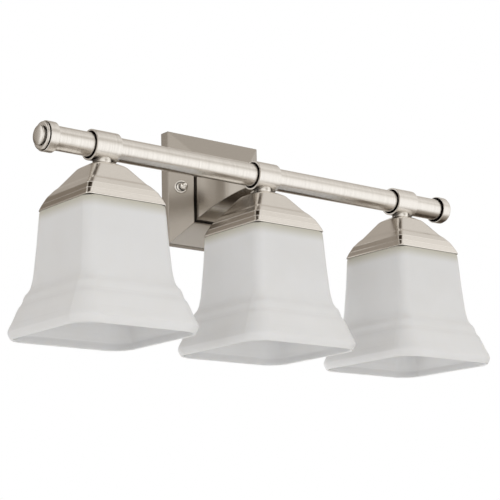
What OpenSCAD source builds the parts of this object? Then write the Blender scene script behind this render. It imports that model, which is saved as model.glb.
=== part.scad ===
// Three-lamp vanity light bar with square bell shades.
// Millimetres. The origin is the centre of the wall canopy's back plane,
// +Z is up, +Y points into the wall and +X to the right of someone facing the wall.

/* [Layout] */
// Distance between neighbouring lamps
lamp_gap = 213; // [175:1:260]
// Distance from the wall to the bar's axis
bar_out = 100.5; // [96:0.5:130]
// Height of the bar's axis above the centre of the canopy
bar_rise = 1.5; // [0:0.5:6]
// How far the tube reaches past the outer lamps
tube_past = 68; // [45:1:95]

/* [Bar tube and collars] */
// Outer diameter of the bar tube
tube_d = 25.4; // [21:0.1:31]
// Wall of the bar tube
tube_wall = 1.2; // [1:0.1:2]
// Length of each collar
collar_len = 30.6; // [26:1:38]
// How far a collar stands proud of the tube
collar_over = 3.6; // [2.5:0.1:6]
// Thickness of a collar's open rim
collar_lip = 1.9; // [0.8:0.1:2.4]
// Depth of the open pocket in each end of a collar
collar_pocket = 4; // [2:0.5:6]

/* [End caps] */
// Length of the ring that covers the end of the tube
ring_len = 10.2; // [7:0.1:14]
// How far the ring stands proud of the tube
ring_over = 3.2; // [2.4:0.1:6]
// Thickness of the ring's open rim
ring_lip = 1.1; // [0.8:0.1:1.8]
// Depth of the open pocket at the ring's inner end
ring_pocket = 3; // [1:0.5:5]
// Length of the knob's wide bead
bead_len = 2.5; // [2.4:0.1:4]
// Radius of the knob's button
button_r = 10.3; // [8:0.1:12]
// Length of the knob's button without its dome
button_len = 1.8; // [1.5:0.1:4]
// Length of the knob's spigot inside the tube
spigot_len = 9; // [6:0.5:14]

/* [Lamp caps] */
// Diameter of the neck between a collar and its cap
neck_d = 19.8; // [16:0.1:23]
// Gap between the underside of a collar and the top of its cap
neck_gap = 2.2; // [1.5:0.1:6]
// Width of a cap over its skirt
cap_w = 96; // [90:1:116]
// Height of a cap
cap_h = 47.1; // [44:0.5:56]
// Depth of the moulding's step below the top of the cap
cap_step_at = 24.7; // [22:0.5:28]
// Half width of the cap just above the step
cap_step_half = 34.5; // [32:0.5:37]
// How far the step stands out
cap_step = 2.8; // [1.5:0.1:4]
// Sheet thickness of a cap
cap_wall = 1.1; // [0.8:0.1:1.6]

/* [Sockets] */
// Radius of the socket's threaded skirt
socket_r = 19; // [17:0.1:20]
// Length of the threaded skirt below the glass
skirt_len = 16; // [13:0.5:24]
// Inside radius of the screw shell for a medium lamp base
shell_r = 12.35; // [12:0.05:12.6]
// Length of the screw shell
shell_len = 27; // [23:0.5:28]
// Wall of the screw shell
shell_wall = 0.65; // [0.5:0.05:1]
// Travel of the centre contact
contact_travel = 1.5; // [0.5:0.1:1.6]
// Radius of the hollow threaded nipples
nipple_r = 4.85; // [4.5:0.05:5.2]
// Radius of the wire way through a nipple
nipple_bore = 3.8; // [3.6:0.05:3.9]
// Across flats of the lock nuts
nut_af = 14; // [13:0.1:16]

/* [Glass shades] */
// How far a shade's shoulder stands out past the cap's edge
shoulder_past = 1.5; // [0.5:0.5:6]
// Width of a shade over its widest bead at the mouth
mouth_w = 151.4; // [140:0.2:170]
// Height of a shade
shade_h = 132.8; // [120:0.2:160]
// Glass thickness of the walls
glass_wall = 3; // [2.5:0.1:4]
// Glass thickness of the top
glass_top = 3.5; // [3:0.1:5]
// Corner radius of the upright walls
corner_r = 9; // [6:0.5:14]
// Corner radius at the mouth
mouth_corner_r = 19; // [14:0.5:24]

/* [Canopy and arm] */
// Width and height of the square wall canopy
canopy_w = 131; // [118:1:160]
// Depth of the canopy's upright rim
canopy_rim = 12.7; // [8:0.1:16]
// Depth from the wall to the canopy's inner edge
canopy_h = 28.3; // [24:0.1:32]
// Half width of the canopy's inner edge
canopy_inner = 41.9; // [40:0.1:44]
// Depth of the recess that holds the arm
recess = 6; // [2.5:0.1:6]
// Gap around the arm in the recess
recess_gap = 3.6; // [2:0.1:5]
// Sheet thickness of the canopy
canopy_wall = 1.2; // [0.8:0.1:1.6]
// Half width of the arm where it meets the collar
arm_tip = 7; // [6:0.1:9]
// Exponent of the arm's hollow curve, lower is more hollow
arm_curve = 0.6; // [0.5:0.01:0.8]

/* [Wall strap] */
// Distance between the two canopy studs
stud_gap = 107; // [100:1:112]
// Radius of the canopy studs
stud_r = 2.05; // [1.9:0.05:2.2]
// Width of the strap
strap_w = 22; // [18:0.5:30]
// Sheet thickness of the strap
strap_t = 1.8; // [1.5:0.1:2.5]
// Distance between the centres of the two outlet box slots
slot_gap = 76.2; // [70:0.1:80]
// End to end length of an outlet box slot
slot_len = 18; // [12:0.5:19]
// Radius of the slots' round ends
slot_r = 2.4; // [2.2:0.05:2.6]

/* [Hidden] */
LAMPS = ["left", "centre", "right"];

$fn = 96;
eps = 0.01;
// Clearance of a turning or sliding fit
fit_gap = 0.05;
// Room between a sleeve and the tube inside it
snug = 0.02;
// Air between two bodies that only rest together
rest_gap = 0.3;

NICKEL = [0.76, 0.73, 0.70];
BRIGHT = [0.86, 0.84, 0.82];
GLASS = [0.93, 0.93, 0.91];
ZINC = [0.70, 0.71, 0.72];
BRASS = [0.78, 0.62, 0.35];
PORCELAIN = [0.92, 0.91, 0.88];

tube_r = tube_d / 2;
tube_bore = tube_r - tube_wall;
tube_half = lamp_gap + tube_past;
collar_r = tube_r + collar_over;
collar_bore = collar_r - collar_lip;
ring_r = tube_r + ring_over;
ring_bore = ring_r - ring_lip;

// Depths below the bar's axis
cap_top = collar_r + neck_gap;
cap_bottom = cap_top + cap_h;
shade_top = cap_bottom + rest_gap;
shade_mouth = shade_top + shade_h;
socket_top = cap_top + cap_wall + 5;
socket_end = shade_top + glass_top + skirt_len;
shell_top = socket_end - 0.5 - shell_len;
nipple_top = tube_bore - 1.3;
nipple_end = socket_top + 10;

function lamp_x(i) = (i - 1) * lamp_gap;

module at_bar() {
    translate([0, -bar_out, bar_rise]) children();
}

module at_lamp(i) {
    at_bar() translate([lamp_x(i), 0, 0]) children();
}

// Points of an arc about c from angle a to angle b
function arc(c, r, a, b, n = 8) =
    [for (k = [0:n]) c + r * [cos(a + (b - a) * k / n), sin(a + (b - a) * k / n)]];

// One level of a square with rounded corners
function square_ring(half, r, z, n = 6) = [
    for (q = [0:3]) for (k = [0:n])
        let (a = 90 * (q + k / n), sx = (q == 0 || q == 3) ? 1 : -1, sy = q < 2 ? 1 : -1)
        [sx * (half - r) + r * cos(a), sy * (half - r) + r * sin(a), z]
];

// Skin over a closed loop of levels that all have the same number of points
module loop_skin(levels) {
    n = len(levels[0]);
    m = len(levels);
    points = [for (ring = levels) each ring];
    faces = [
        for (i = [0:m - 1]) for (k = [0:n - 1])
            let (a = i * n + k, b = i * n + (k + 1) % n,
                 c = ((i + 1) % m) * n + k, d = ((i + 1) % m) * n + (k + 1) % n)
            each [[a, b, c], [b, d, c]]
    ];
    polyhedron(points, faces);
}

// A square solid whose four sides all follow the outline [half width, depth]
module mitred(outline) {
    intersection_for (turn = [0, 90])
        rotate([0, turn, 0])
        translate([0, 0, -300])
        linear_extrude(600)
        polygon([for (p = outline) [p.x, -p.y]]);
}

// Outline of a half profile closed over its mirror image
function both_sides(half) = concat(
    half, [for (k = [len(half) - 1:-1:0]) [-half[k].x, half[k].y]]
);

// ---- wall strap and its fasteners ----

stud_x = stud_gap / 2;
// Height of the strap's raised ends above the wall
strap_rise = 6;
joggle_x = stud_x - 5.6;
strap_end = stud_x + 6;
stud_head = 2.9;
stud_nut_t = 3;

// Depth of the canopy's sloped face at a stud
slope_run = canopy_w / 2 - canopy_inner;
slope_rise = canopy_h - canopy_rim;
slope_len = norm([slope_run, slope_rise]);
stud_face = canopy_rim + (canopy_w / 2 - stud_x) / slope_run * slope_rise;
slope_angle = atan2(slope_rise, slope_run);

// The ball of a cap nut, and how far its centre stands off the sloped face
ball_r = 4.4;
ball_off = 6;
stud_tip = stud_face + ball_off + 1.6;

module on_studs() {
    for (side = [-1, 1]) translate([side * stud_x, 0, 0]) children();
}

// A cylinder along Y from depth a to depth b in front of the wall
module post(r, a, b) {
    translate([0, -a, 0]) rotate([90, 0, 0]) cylinder(r = r, h = b - a);
}

ground_x = -14;

module wall_strap() {
    half = [
        [0, 0], [joggle_x, 0], [joggle_x + 1.6, strap_rise], [strap_end, strap_rise],
        [strap_end, strap_rise + strap_t], [joggle_x + 0.6, strap_rise + strap_t],
        [joggle_x - 1, strap_t], [0, strap_t]
    ];
    color(ZINC) difference() {
        for (side = [0, 1]) mirror([side, 0, 0])
            translate([0, 0, -strap_w / 2])
            linear_extrude(strap_w) polygon([for (p = half) [p.x - eps, -p.y]]);
        for (side = [-1, 1]) translate([side * slot_gap / 2, 0, 0]) {
            run = slot_len / 2 - slot_r;
            for (end = [-1, 1]) translate([end * run, 0, 0]) post(slot_r, -1, strap_t + 1);
            translate([-run, -strap_t - 1, -slot_r]) cube([2 * run, strap_t + 2, 2 * slot_r]);
        }
        on_studs() post(stud_r, strap_rise - 1, strap_rise + strap_t + 1);
        translate([ground_x, 0, 0]) post(2, -1, strap_t + 1);
    }
}

module stud_screws() {
    color(ZINC) on_studs() {
        post(stud_r, strap_rise - eps, stud_tip);
        difference() {
            post(4, strap_rise - stud_head, strap_rise);
            translate([-5, -(strap_rise - stud_head + 1), -0.5]) cube([10, 1.1, 1]);
        }
    }
}

module stud_nuts() {
    color(ZINC) on_studs() difference() {
        translate([0, -(strap_rise + strap_t), 0]) rotate([90, 0, 0])
            cylinder(r = 4.6, h = stud_nut_t, $fn = 6);
        post(stud_r, strap_rise, strap_rise + 2 * strap_t + stud_nut_t);
    }
}

module ground_screw() {
    color([0.10, 0.45, 0.22]) translate([ground_x, 0, 0]) {
        post(2, 0.2, strap_t + eps);
        difference() {
            post(4.2, strap_t, strap_t + 3);
            translate([-5, -strap_t - 4, -0.6]) cube([10, 2, 1.2]);
        }
    }
}

// ---- canopy and arm ----

recess_half = canopy_inner - 1;
recess_floor = canopy_h - recess;
arm_base = recess_half - recess_gap;
arm_rim = canopy_h + 0.9;
arm_end = bar_out - collar_r;
arm_wall = 2;
wire_way = nipple_r + 0.15;

// The slanted wall keeps its thickness square to its face
slant_wall = canopy_wall * slope_len / slope_run;

module canopy() {
    inside_edge = recess_half + canopy_wall;
    slope = slope_rise / slope_run;
    inside_at = canopy_w / 2 - canopy_wall;
    inside_rim = canopy_rim + canopy_wall * slope - slant_wall;
    inside_top = canopy_rim + (canopy_w / 2 - inside_edge) * slope - slant_wall;
    color(NICKEL) difference() {
        mitred(both_sides([
            [canopy_w / 2, 0], [canopy_w / 2, canopy_rim], [canopy_inner, canopy_h]
        ]));
        mitred(both_sides([[recess_half, recess_floor], [recess_half, canopy_h + 1]]));
        difference() {
            mitred(both_sides([
                [inside_at, -1], [inside_at, inside_rim], [inside_edge, inside_top],
                [inside_edge, canopy_h - canopy_wall], [0, canopy_h - canopy_wall]
            ]));
            mitred(both_sides([
                [inside_edge, recess_floor - canopy_wall], [inside_edge, canopy_h + 1]
            ]));
        }
        translate([0, 0, bar_rise]) post(wire_way, recess_floor - 5, recess_floor + 5);
        on_studs() post(stud_r + 0.45, 0, canopy_h + 5);
    }
}

// Half width of the arm at a fraction t of its way from its rim to its tip
function arm_half(t) =
    arm_tip + (arm_base - arm_tip) * pow(1 - pow(t, arm_curve), 1 / arm_curve);

ARM_STEPS = [0, 0.01, 0.03, 0.06, 0.1, 0.16, 0.24, 0.34, 0.46, 0.6, 0.76, 0.9, 1];

module arm_outline(shrink, back, front) {
    curve = [for (t = ARM_STEPS) [arm_half(t) - shrink, arm_rim + t * (arm_end - arm_rim) - shrink]];
    mitred(both_sides(concat(
        [[arm_base - shrink, back]], curve, [[arm_tip - shrink, front]]
    )));
}

module arm() {
    // Only the last stretch is solid, where the nipple is threaded in
    solid_from = arm_rim + 0.62 * (arm_end - arm_rim);
    color(NICKEL) difference() {
        arm_outline(0, recess_floor, arm_end + 4);
        intersection() {
            arm_outline(arm_wall, recess_floor - 1, arm_end);
            translate([-100, -solid_from, -100]) cube([200, solid_from, 200]);
        }
        translate([0, 0, bar_rise]) post(nipple_r, 0, bar_out);
        at_bar() rotate([0, 90, 0]) cylinder(r = collar_r, h = 100, center = true);
    }
}

// The nipple runs from behind the canopy's floor into the centre collar
nut_t = 3;
arm_nipple_in = recess_floor - canopy_wall - nut_t - 1;
arm_nipple_out = bar_out - tube_bore - 0.6 + 1.2;

module hollow(r, bore, h) {
    difference() {
        cylinder(r = r, h = h);
        translate([0, 0, -1]) cylinder(r = bore, h = h + 2);
    }
}

module arm_nipple() {
    color(BRASS) translate([0, -arm_nipple_in, bar_rise]) rotate([90, 0, 0])
        hollow(nipple_r, nipple_bore, arm_nipple_out - arm_nipple_in);
}

module hex_nut() {
    difference() {
        cylinder(d = nut_af / cos(30), h = nut_t, $fn = 6);
        translate([0, 0, -1]) cylinder(r = nipple_r, h = nut_t + 2);
    }
}

module lock_nuts() {
    color(BRASS) {
        translate([0, -(recess_floor - canopy_wall - nut_t), bar_rise]) rotate([90, 0, 0]) hex_nut();
        for (i = [0:2]) at_lamp(i) translate([0, 0, -cap_top - cap_wall - nut_t]) hex_nut();
    }
}

washer_r = 7.3;
washer_h = 2.1;

// Puts the local +Z axis square to the canopy's left sloped face, at the stud
module on_slope() {
    translate([-stud_x, -stud_face, 0]) rotate([0, 0, -slope_angle]) rotate([90, 0, 0]) children();
}

module dome_washers() {
    color(BRIGHT) for (side = [0, 1]) mirror([side, 0, 0]) difference() {
        on_slope() rotate_extrude() polygon([
            [0, 0], [washer_r, 0], [washer_r, 1.3], [washer_r - 0.6, washer_h],
            [washer_r - 1.3, washer_h], [washer_r - 2.8, 1.2], [0, 1]
        ]);
        translate([-stud_x, -stud_face - ball_off, 0]) sphere(r = ball_r + fit_gap);
        translate([-stud_x, 0, 0]) post(stud_r + 0.45, 0, canopy_h + 20);
    }
}

module cap_nut(side) {
    color(BRIGHT) translate([side * stud_x, -stud_face - ball_off, 0]) rotate([90, 0, 0])
        rotate_extrude() difference() {
            intersection() {
                circle(r = ball_r);
                translate([0, -ball_r]) square([ball_r, 2 * ball_r]);
            }
            translate([-1, -ball_r - 1]) square([stud_r + fit_gap + 1, ball_r + 3]);
        }
}

module cap_nut_left() { cap_nut(-1); }
module cap_nut_right() { cap_nut(1); }

// ---- bar ----

module bar_tube() {
    color(NICKEL) at_bar() difference() {
        rotate([0, 90, 0]) translate([0, 0, -tube_half]) difference() {
            cylinder(r = tube_r, h = 2 * tube_half);
            translate([0, 0, -1]) cylinder(r = tube_bore, h = 2 * tube_half + 2);
        }
        for (i = [0:2]) translate([lamp_x(i), 0, -tube_r - 1]) cylinder(r = nipple_r, h = tube_r);
        rotate([-90, 0, 0]) cylinder(r = nipple_r, h = tube_r + 1);
    }
}

// A ring turned about X from an outline of [distance along X, radius] points
module turned(outline) {
    rotate([0, 90, 0]) rotate_extrude() polygon([for (p = outline) [p.y, p.x]]);
}

module collar(i) {
    half = collar_len / 2;
    pocket = half - collar_pocket;
    soft = 0.5;
    color(NICKEL) at_lamp(i) difference() {
        turned(concat(
            [[-pocket, tube_r + snug], [-pocket, collar_bore], [-half, collar_bore]],
            arc([-half + soft, collar_r - soft], soft, 180, 90, 4),
            arc([half - soft, collar_r - soft], soft, 90, 0, 4),
            [[half, collar_bore], [pocket, collar_bore], [pocket, tube_r + snug]]
        ));
        translate([0, 0, -collar_r - 1]) cylinder(r = nipple_r, h = collar_r);
        if (i == 1) rotate([-90, 0, 0]) cylinder(r = nipple_r, h = collar_r + 1);
    }
}

module collar_left() { collar(0); }
module collar_centre() { collar(1); }
module collar_right() { collar(2); }

module to_end(side) {
    at_bar() mirror([side < 0 ? 1 : 0, 0, 0]) translate([tube_half, 0, 0]) children();
}

// The ring laps past the tube's end and stops short of the knob's bead
ring_out = 1.7;
ring_in = ring_out - ring_len;

module end_ring(side) {
    soft = 0.9;
    color(NICKEL) to_end(side) turned(concat(
        [[ring_in + ring_pocket, tube_r + snug], [ring_in + ring_pocket, ring_bore], [ring_in, ring_bore]],
        arc([ring_in + soft, ring_r - soft], soft, 180, 90, 4),
        arc([ring_out - 0.4, ring_r - 0.4], 0.4, 90, 0, 3),
        [[ring_out, tube_r + snug]]
    ));
}

module end_ring_left() { end_ring(-1); }
module end_ring_right() { end_ring(1); }

module end_knob(side) {
    bead_r = ring_r - 1.3;
    bead_in = ring_out + 0.7;
    bead_end = bead_in + bead_len;
    neck_len = 1.6;
    button_in = bead_end + neck_len;
    button_end = button_in + button_len;
    dome = 1;
    color(NICKEL) to_end(side) turned(concat(
        [[-spigot_len, 0], [-spigot_len, tube_bore - 0.5], [0.5 - spigot_len, tube_bore - snug],
         [0, tube_bore - snug], [0, tube_r - 0.6], [bead_in, tube_r - 0.6], [bead_in, bead_r - 0.5]],
        arc([bead_in + 0.5, bead_r - 0.5], 0.5, 180, 90, 3),
        arc([bead_end - 1.8, bead_r - 1.8], 1.8, 90, 0, 6),
        [[bead_end, button_r - 1.6], [button_in, button_r - 1.6], [button_in, button_r - 0.4]],
        arc([button_end - 0.6, button_r - 0.6], 0.6, 90, 20, 4),
        [for (k = [1:6]) [button_end + dome * sin(15 * k), (button_r - 0.6) * cos(15 * k)]]
    ));
}

module end_knob_left() { end_knob(-1); }
module end_knob_right() { end_knob(1); }

// ---- lamp holders ----

module neck(i) {
    color(BRIGHT) at_lamp(i) difference() {
        translate([0, 0, -cap_top]) cylinder(d = neck_d, h = cap_top);
        rotate([0, 90, 0]) cylinder(r = collar_r, h = 2 * collar_len, center = true);
        translate([0, 0, -cap_top - 1]) cylinder(r = nipple_r, h = cap_top + 2);
    }
}

module neck_left() { neck(0); }
module neck_centre() { neck(1); }
module neck_right() { neck(2); }

module nipple(i) {
    color(BRASS) at_lamp(i) translate([0, 0, -nipple_end])
        hollow(nipple_r, nipple_bore, nipple_end - nipple_top);
}

module nipple_left() { nipple(0); }
module nipple_centre() { nipple(1); }
module nipple_right() { nipple(2); }

// Half outline of the cap, as [half width, depth below its top]
cap_flat = 11.8;
cap_bend = [20.8, 4.9];
cap_half = cap_w / 2;

// The crown has two flats, and the skirt below its step has three, with soft creases between
function cap_outline() = let (
    top = [cap_step_half + cap_step, cap_step_at + 1.2],
    size = [cap_half, cap_h] - top
) [
    [cap_flat, 0], cap_bend + [-1.6, -0.9], cap_bend + [-0.4, 0], cap_bend + [0.6, 1],
    [cap_step_half - 0.3, cap_step_at - 0.5], [cap_step_half + 0.1, cap_step_at], top,
    top + [0.46 * size.x, 0.34 * size.y], top + [0.5 * size.x, 0.38 * size.y],
    top + [0.78 * size.x, 0.64 * size.y], top + [0.81 * size.x, 0.68 * size.y],
    [cap_half - 0.4, cap_h - 1.6], [cap_half, cap_h]
];

// Corners get tighter from the crown of the cap to its skirt
function cap_corner(depth) = 8 - 4 * depth / cap_h;

module lamp_cap(i) {
    outline = cap_outline();
    last = len(outline) - 1;
    outside = [for (p = outline) square_ring(p.x, cap_corner(p.y), -p.y)];
    inside = [for (k = [last:-1:0]) let (p = outline[k], drop = k == last ? 0 : cap_wall)
        square_ring(p.x - cap_wall, cap_corner(p.y) - cap_wall, -p.y - drop)];
    hole = nipple_r + 0.15;
    color(NICKEL) at_lamp(i) translate([0, 0, -cap_top]) loop_skin(concat(
        [square_ring(hole, hole, 0)], outside, inside, [square_ring(hole, hole, -cap_wall)]
    ));
}

module lamp_cap_left() { lamp_cap(0); }
module lamp_cap_centre() { lamp_cap(1); }
module lamp_cap_right() { lamp_cap(2); }

contact_lift = 1.6;
contact_room = contact_travel + contact_lift + 1.6;

module socket(i) {
    flange_r = socket_r + 4.5;
    shoulder = cap_bottom - 3.6;
    dome_r = socket_r - 2;
    cavity_end = shell_top - contact_room - 3.5;
    bore = shell_r + shell_wall;
    color(PORCELAIN) at_lamp(i) rotate([180, 0, 0]) difference() {
        rotate_extrude() polygon(concat(
            [[0, socket_top]], arc([dome_r - 3, socket_top + 3], 3, -90, 0, 5),
            [[dome_r, shoulder - 2], [flange_r, shoulder], [flange_r, cap_bottom],
             [socket_r, cap_bottom], [socket_r, socket_end - 0.8], [socket_r - 0.8, socket_end],
             [0, socket_end]]
        ));
        translate([0, 0, socket_top - 1]) cylinder(r = nipple_r, h = nipple_end - socket_top + 1);
        translate([0, 0, nipple_end - eps]) cylinder(r = 11, h = cavity_end - nipple_end);
        translate([0, 0, shell_top - contact_room]) cylinder(r = 9, h = contact_room + 1);
        translate([0, 0, shell_top]) cylinder(r = bore, h = socket_end);
    }
}

module socket_left() { socket(0); }
module socket_centre() { socket(1); }
module socket_right() { socket(2); }

module screw_shell(i) {
    color(BRASS) at_lamp(i) translate([0, 0, -shell_top - shell_len])
        hollow(shell_r + shell_wall, shell_r, shell_len);
}

module screw_shell_left() { screw_shell(0); }
module screw_shell_centre() { screw_shell(1); }
module screw_shell_right() { screw_shell(2); }

// A brass tongue with a pressed pip that the lamp's tip pushes up
module contact(i) {
    tongue_t = 0.6;
    color(BRASS) at_lamp(i) translate([0, 0, contact_lift - shell_top]) {
        translate([-3, -7, 0]) cube([6, 14, tongue_t]);
        rotate([180, 0, 0]) translate([0, 0, -eps]) cylinder(r1 = 2.4, r2 = 1.6, h = 1.2);
    }
}

module contact_left() { contact(0); }
module contact_centre() { contact(1); }
module contact_right() { contact(2); }

// ---- glass shades ----

shoulder_half = cap_w / 2 + shoulder_past;
mouth_half = mouth_w / 2;
hole_r = socket_r + 1.5;
// Depths of the flare's start, its two ridges and its bead, measured from the mouth
flare_from_mouth = 64;
ridge_from_mouth = [47.7, 34.3];
bead_from_mouth = 9;
ridge_out = 1.7;
lip_in = 2.1;

// Half outline of the glass's outer face, as [half width, depth below its top]
function shade_outline() = let (
    flare = shade_h - flare_from_mouth,
    ridge_a = shade_h - ridge_from_mouth[0],
    ridge_b = shade_h - ridge_from_mouth[1],
    bead = shade_h - bead_from_mouth,
    waist = shoulder_half + 4.4,
    spread = mouth_half - waist
) concat(
    arc([shoulder_half - 2, 2], 2, -90, 0, 4),
    [for (k = [0:6]) let (t = k / 6)
        [waist + 0.215 * spread * t * t, flare + (ridge_a - flare) * t]],
    [[waist + 0.215 * spread + ridge_out, ridge_a + 1.6],
     [waist + 0.52 * spread - ridge_out, ridge_b],
     [waist + 0.52 * spread, ridge_b + 1.6]],
    [for (k = [1:4]) let (t = k / 5)
        [waist + spread * (0.52 + 0.41 * t + 0.07 * t * t), ridge_b + 1.6 + (bead - ridge_b - 1.6) * t]],
    [[mouth_half - 0.4, bead - 2.6], [mouth_half, bead], [mouth_half - 0.4, bead + 3],
     [mouth_half - lip_in, shade_h]]
);

// The corners open out with the flare
function shade_corner(depth) = let (
    start = shade_h - ridge_from_mouth[0],
    t = max(0, min(1, (depth - start) / (shade_h - bead_from_mouth - start)))
) corner_r + (mouth_corner_r - corner_r) * t;

module shade(i) {
    outline = shade_outline();
    last = len(outline) - 1;
    outside = [for (p = outline) square_ring(p.x, shade_corner(p.y), -p.y)];
    inside = [for (k = [last:-1:5]) let (p = outline[k])
        square_ring(p.x - glass_wall, shade_corner(p.y) - glass_wall, -p.y)];
    shoulder = square_ring(shoulder_half - glass_wall, corner_r - glass_wall, -glass_top);
    color(GLASS) at_lamp(i) translate([0, 0, -shade_top]) loop_skin(concat(
        [square_ring(hole_r, hole_r, 0)], outside, inside,
        [shoulder, square_ring(hole_r, hole_r, -glass_top)]
    ));
}

module shade_left() { shade(0); }
module shade_centre() { shade(1); }
module shade_right() { shade(2); }

module shade_ring(i) {
    top = shade_top + glass_top + fit_gap;
    flange_r = hole_r + 6;
    grip_r = socket_r + 4;
    bore = socket_r + 0.08;
    color(PORCELAIN) at_lamp(i) rotate([180, 0, 0]) translate([0, 0, top]) {
        rotate_extrude() polygon([
            [bore, 0], [flange_r, 0], [flange_r, 2], [grip_r, 3], [grip_r, 8],
            [grip_r - 0.6, 8.6], [bore, 8.6]
        ]);
        for (k = [0:11]) rotate([0, 0, 30 * k]) translate([grip_r - 0.5, -1.1, 2.5])
            cube([1.6, 2.2, 5.2]);
    }
}

module shade_ring_left() { shade_ring(0); }
module shade_ring_centre() { shade_ring(1); }
module shade_ring_right() { shade_ring(2); }

// ---- wiring ----

wire_r = 0.9;
// Height in the socket's cavity where the leads start, below the bar's axis
lead_start = nipple_end + 4;
// Where the leads leave the arm's nipple, as a depth in front of the wall
lead_out = arm_nipple_in - 1;
nut_drop = 32;

function unit(v) = v / norm(v);

// Replaces each inner corner of a path by a short curve
function eased(path, r = 4, n = 4) = concat(
    [path[0]],
    [for (k = [1:len(path) - 2])
        let (a = path[k - 1], b = path[k], c = path[k + 1],
             ra = min(r, norm(b - a) / 2.1), rc = min(r, norm(c - b) / 2.1),
             p = b + ra * unit(a - b), q = b + rc * unit(c - b))
        each [for (s = [0:n]) let (t = s / n) (1 - t) * (1 - t) * p + 2 * t * (1 - t) * b + t * t * q]],
    [path[len(path) - 1]]
);

// A round tube along a path, with the same number of sides all the way
module wire(path, sides = 8) {
    route = eased(path);
    last = len(route) - 1;
    along = [for (k = [0:last])
        unit(k == 0 ? route[1] - route[0] : k == last ? route[last] - route[last - 1]
             : unit(route[k + 1] - route[k]) + unit(route[k] - route[k - 1]))];
    start = abs(along[0].x) > 0.9 ? [0, 1, 0] : [1, 0, 0];
    normals = [for (k = 0, v = unit(start - (start * along[0]) * along[0]); k <= last;
        k = k + 1, v = k <= last ? unit(v - (v * along[k]) * along[k]) : v) v];
    rings = [for (k = [0:last]) [for (s = [0:sides - 1])
        let (a = 360 * s / sides, u = normals[k], w = cross(along[k], u))
        route[k] + wire_r * (cos(a) * u + sin(a) * w)]];
    points = [for (ring = rings) each ring];
    polyhedron(points, concat(
        [[for (s = [0:sides - 1]) s]],
        [for (k = [0:last - 1]) for (s = [0:sides - 1])
            [k * sides + s, (k + 1) * sides + s, (k + 1) * sides + (s + 1) % sides,
             k * sides + (s + 1) % sides]],
        [[for (s = [sides - 1:-1:0]) last * sides + s]]
    ));
}

// One lead from a socket, through the bar and the arm, down to its wire nut.
// rise is its height in the bar, layer its depth behind the canopy.
module lead(i, side, rise, layer) {
    dx = (1 - i) * side * 1.5;
    dy = i == 1 ? side * 1.5 : 0;
    way = (i - 1) * 2.4;
    bar = [0, -bar_out, bar_rise];
    nut_x = side * 22;
    wire(concat(
        [bar + [lamp_x(i) + dx, dy, -lead_start]],
        i == 1 ? [bar + [0, dy, rise]]
               : [bar + [lamp_x(i) + dx, 0, rise], bar + [way, 0, rise]],
        [[way, -layer, bar_rise + rise], [nut_x, -layer, bar_rise + rise],
         [nut_x, -layer, -nut_drop]]
    ));
}

module black_leads() {
    color([0.05, 0.05, 0.05]) {
        lead(0, -1, 1.2, 12.5);
        lead(1, -1, 2.4, 10.5);
        lead(2, -1, 1.2, 8.5);
    }
}

module white_leads() {
    color([0.9, 0.9, 0.88]) {
        lead(0, 1, -1.2, 8.5);
        lead(1, 1, -2.4, 10.5);
        lead(2, 1, -1.2, 12.5);
    }
}

module ground_lead() {
    floor_in = recess_floor - canopy_wall;
    color([0.08, 0.5, 0.2]) wire([
        [ground_x - 2, -floor_in + eps, 14], [ground_x - 2, -6.2, 14], [ground_x, -6.2, 1]
    ]);
}

module wire_nuts() {
    color([0.85, 0.35, 0.06]) for (side = [-1, 1])
        translate([side * 22, -10.5, -nut_drop - eps]) rotate([180, 0, 0])
        rotate_extrude() polygon([
            [0, 0], [5.2, 0], [5.2, 3], [4.6, 5], [3.2, 18], [2.2, 19.5], [0, 19.5]
        ]);
}

wall_strap();
stud_screws();
stud_nuts();
ground_screw();
canopy();
arm();
arm_nipple();
lock_nuts();
dome_washers();
cap_nut_left();
cap_nut_right();
bar_tube();
end_ring_left();
end_ring_right();
end_knob_left();
end_knob_right();
collar_left();
collar_centre();
collar_right();
neck_left();
neck_centre();
neck_right();
nipple_left();
nipple_centre();
nipple_right();
lamp_cap_left();
lamp_cap_centre();
lamp_cap_right();
socket_left();
socket_centre();
socket_right();
screw_shell_left();
screw_shell_centre();
screw_shell_right();
contact_left();
contact_centre();
contact_right();
shade_left();
shade_centre();
shade_right();
shade_ring_left();
shade_ring_centre();
shade_ring_right();
black_leads();
white_leads();
ground_lead();
wire_nuts();
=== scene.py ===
# %% [markdown]
# # A vanity light bar
# A brushed nickel tube holds three square bell shades in front of a bathroom wall. The measured
# frame is already made, so this lesson gives each part the shape and finish that the eye expects:
# soft edges, spun and pressed metal, threads, and acid etched glass.

# %% Load the measured frame
from math import atan2, cos, hypot, pi, radians, sin, sqrt

import bmesh
import bpy
from mathutils import Matrix, Vector


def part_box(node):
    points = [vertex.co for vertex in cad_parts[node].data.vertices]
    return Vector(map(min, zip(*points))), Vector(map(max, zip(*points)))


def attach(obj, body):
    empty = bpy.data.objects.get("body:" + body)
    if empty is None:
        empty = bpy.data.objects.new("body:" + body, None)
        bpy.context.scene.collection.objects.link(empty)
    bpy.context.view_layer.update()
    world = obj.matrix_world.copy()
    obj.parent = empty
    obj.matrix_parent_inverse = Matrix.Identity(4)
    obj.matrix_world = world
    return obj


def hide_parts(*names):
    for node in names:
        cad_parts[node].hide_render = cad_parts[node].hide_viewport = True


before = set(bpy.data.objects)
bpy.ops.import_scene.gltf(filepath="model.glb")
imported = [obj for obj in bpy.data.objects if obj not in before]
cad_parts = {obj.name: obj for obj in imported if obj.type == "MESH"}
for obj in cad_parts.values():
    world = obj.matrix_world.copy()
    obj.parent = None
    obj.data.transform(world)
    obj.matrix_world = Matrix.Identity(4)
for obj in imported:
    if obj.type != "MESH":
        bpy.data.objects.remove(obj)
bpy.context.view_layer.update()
MM = 0.001
LAMPS = ("left", "centre", "right")

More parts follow.
